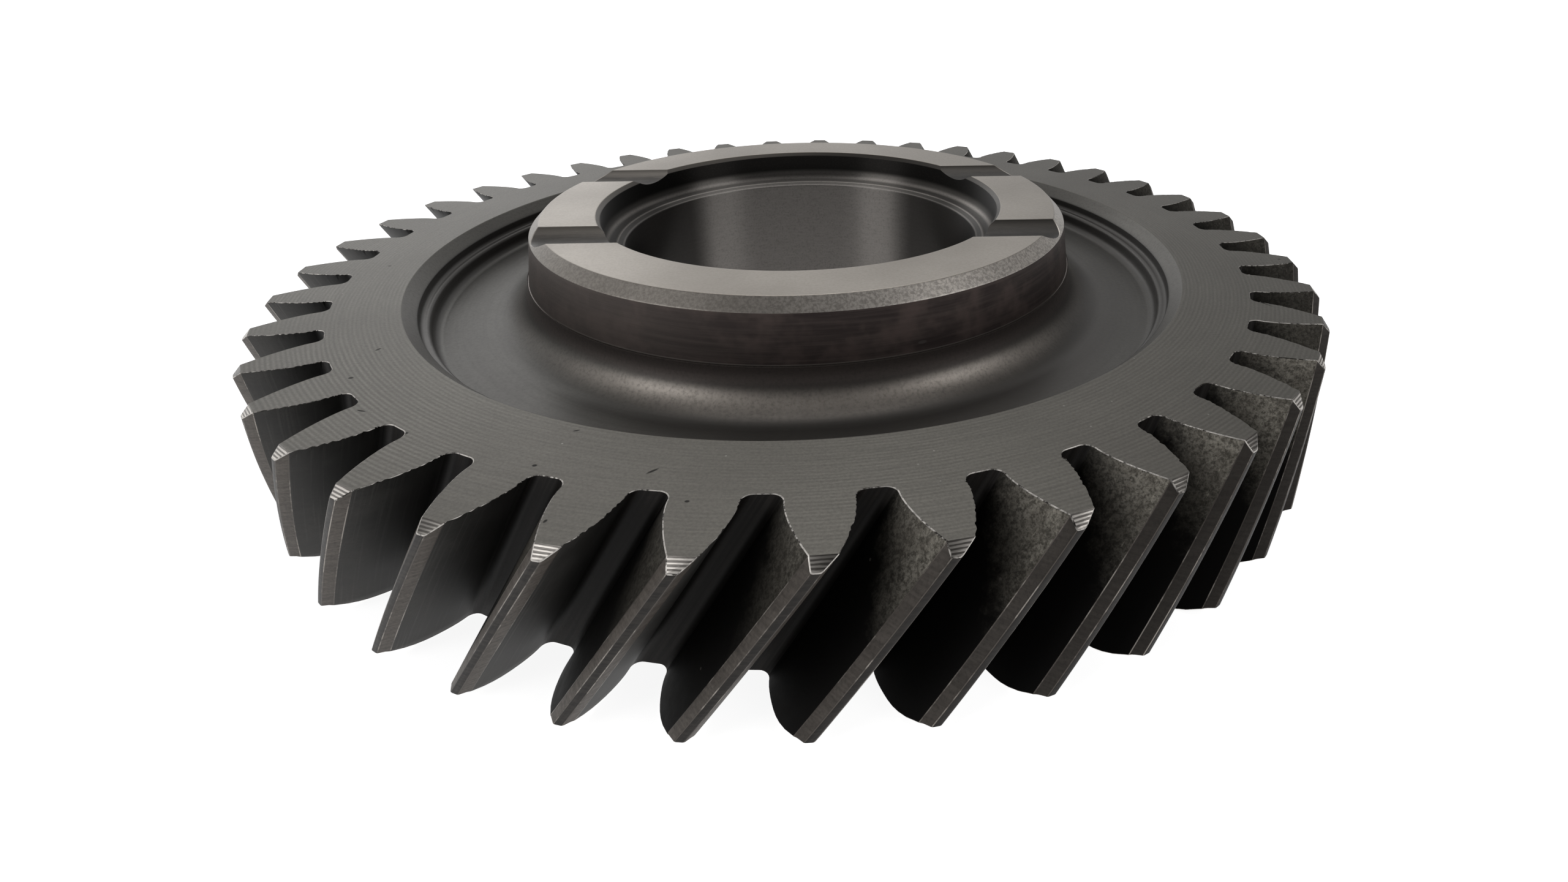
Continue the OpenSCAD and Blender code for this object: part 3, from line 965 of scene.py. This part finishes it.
def bore_steel():
    """Ground bearing bore, and the dark counterbore above it with its turned seat. Painted
    shade darkens the sides of the bore, and painted highlight lines run round the seat.
    """
    dark_steel = (0.160, 0.150, 0.140)
    pale_steel = (0.180, 0.168, 0.158)
    painted_shade_black = (0.018, 0.0165, 0.0155)
    seat_grey = (0.085, 0.080, 0.074)
    highlight_bright = (0.30, 0.28, 0.26)
    wall_black = (0.011, 0.0105, 0.010)
    grain_grey = (0.040, 0.037, 0.034)
    steel = Finish("ground_bore_steel", metallic=1.0, anisotropic=1.0)
    rings = steel.noise(steel.rings(14.0, far=4.0, high=4.0), 1.0, detail=2, rough=0.6)
    grain = steel.noise(steel.place, 4.0, detail=2, rough=0.6)
    colour = steel.blend(rings.between(0.2, 0.8), dark_steel, pale_steel)
    # Painted shade on the sides of the bore, which leaves a lighter painted reflection at the back.
    shaded_side = steel.round(1, peak_at=92.3).between(0.91, 0.84)
    colour = steel.blend(shaded_side * 0.74, colour, painted_shade_black)
    wall = steel.high.between(seat_z + 0.9, seat_z + 1.6)
    seat = steel.high.between(seat_z - 0.5, seat_z - 0.1)
    colour = steel.blend(seat * 0.6, colour, seat_grey)
    # Painted highlight lines round the lip of the bore, the fillet of the counterbore and the edge of the
    # bore.
    lip_r = BORE_R + LEAD_W
    lip = steel.far.between(lip_r + 0.22, lip_r + 0.06) * steel.far.between(lip_r - 0.22, lip_r - 0.06)
    fillet_r = counterbore_r - 0.4
    fillet = steel.far.between(fillet_r - 0.35, fillet_r) * steel.far.between(fillet_r + 0.3, fillet_r)
    edge = steel.far.between(BORE_R + 0.02, BORE_R + 0.08) * steel.far.between(BORE_R + 0.3, BORE_R + 0.15)
    for wear_and_highlight in (lip, fillet, edge):
        colour = steel.blend(wear_and_highlight * seat * 0.75, colour, highlight_bright)
    colour = steel.blend(wall * 0.92, colour, wall_black)
    colour = steel.blend(grain.between(0.45, 0.8, high=0.3), colour, grain_grey)
    normal = steel.bump(rings + grain * 0.4, depth_mm=0.002)
    return steel.wear(colour, 0.38 + grain * 0.05, normal)


own_finishes = [recess_steel(), hub_side_steel(), ground_hub_steel(), bore_steel()]
blank.data.materials.clear()
for finish in list(gear.data.materials) + own_finishes:
    blank.data.materials.append(finish)
for face in blank.data.polygons:
    far, high = reach(face.center), face.center.z / MM
    on_lower_face = high < 0.05 and face.normal.z < -0.9
    on_counterbore_edge = far > counterbore_r - 0.2 and high > hub_top - COUNTERBORE_CHAMFER
    if far > mouth_r - 0.02 or on_lower_face:
        face.material_index = RIM
    elif far > HUB_FOOT_R + HUB_LINE / 2:
        face.material_index = RECESS
    elif far < counterbore_r + 0.03 and not on_counterbore_edge:
        face.material_index = BORE
    elif high > hub_neck_z - 0.05:
        face.material_index = GROUND
    else:
        face.material_index = HUB_SIDE

# Blank and teeth are one forging: they are joined, and the sharp outline of the teeth is
# broken at both ends, where the hob and the lathe leave a burr. On the upper face the hob
# has torn one side of each tooth a little.
TORN_CUTS, TORN_BY, TORN_MERGE, TORN_SEED = 2, 0.12, 0.03, 4
BROKEN_EDGE = 0.06
SMOOTH_BELOW = math.radians(30)
FLAT = 0.999
gear.select_set(True)
bpy.context.view_layer.objects.active = gear
bpy.ops.object.join()
bpy.ops.object.mode_set(mode="EDIT")
merge_doubles()
bpy.ops.object.mode_set(mode="OBJECT")


def slots_beside():
    """For each edge of the gear, the finishes of the faces that meet there."""
    beside = {}
    for face in gear.data.polygons:
        for key in face.edge_keys:
            beside.setdefault(key, set()).add(face.material_index)
    return beside


beside = slots_beside()
points_before = len(gear.data.vertices)
pick(gear, "EDGE", lambda e: beside.get(e.key) == {RIM, FLANK}
     and all(gear.data.vertices[v].co.z > (FACE_W - SAME) * MM for v in e.vertices))
bpy.ops.mesh.subdivide(number_cuts=TORN_CUTS)
bpy.ops.object.mode_set(mode="OBJECT")
pick(gear, "VERT", lambda v: v.index >= points_before)
bpy.ops.transform.vertex_random(offset=TORN_BY * MM, uniform=0.0, normal=0.0, seed=TORN_SEED)
bpy.ops.transform.resize(value=(1, 1, 0), center_override=(0, 0, FACE_W * MM))
bpy.ops.mesh.remove_doubles(threshold=TORN_MERGE * MM, use_unselected=True)
bpy.ops.object.mode_set(mode="OBJECT")
beside = slots_beside()
ENDS, SIDES = {RIM, TIP}, {CREST, RUBBED, FLANK, UNDER_FLANK, ROOT}
pick(gear, "EDGE", lambda e: len(beside.get(e.key, set()) & ENDS) == 1
     and len(beside.get(e.key, set()) & SIDES) == 1)
bpy.ops.mesh.bevel(offset=BROKEN_EDGE * MM, segments=1, affect="EDGES", clamp_overlap=False, material=BURR)
bpy.ops.object.mode_set(mode="OBJECT")
bpy.ops.object.shade_smooth_by_angle(angle=SMOOTH_BELOW)

# The flat faces of the rim are shaded flat, or the burr beside them would darken them
pick(gear, "FACE", lambda f: f.material_index == RIM and abs(f.normal.z) > FLAT)
bpy.ops.mesh.faces_shade_flat()
bpy.ops.object.mode_set(mode="OBJECT")

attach(gear, "root")
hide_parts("gear")
low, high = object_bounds()
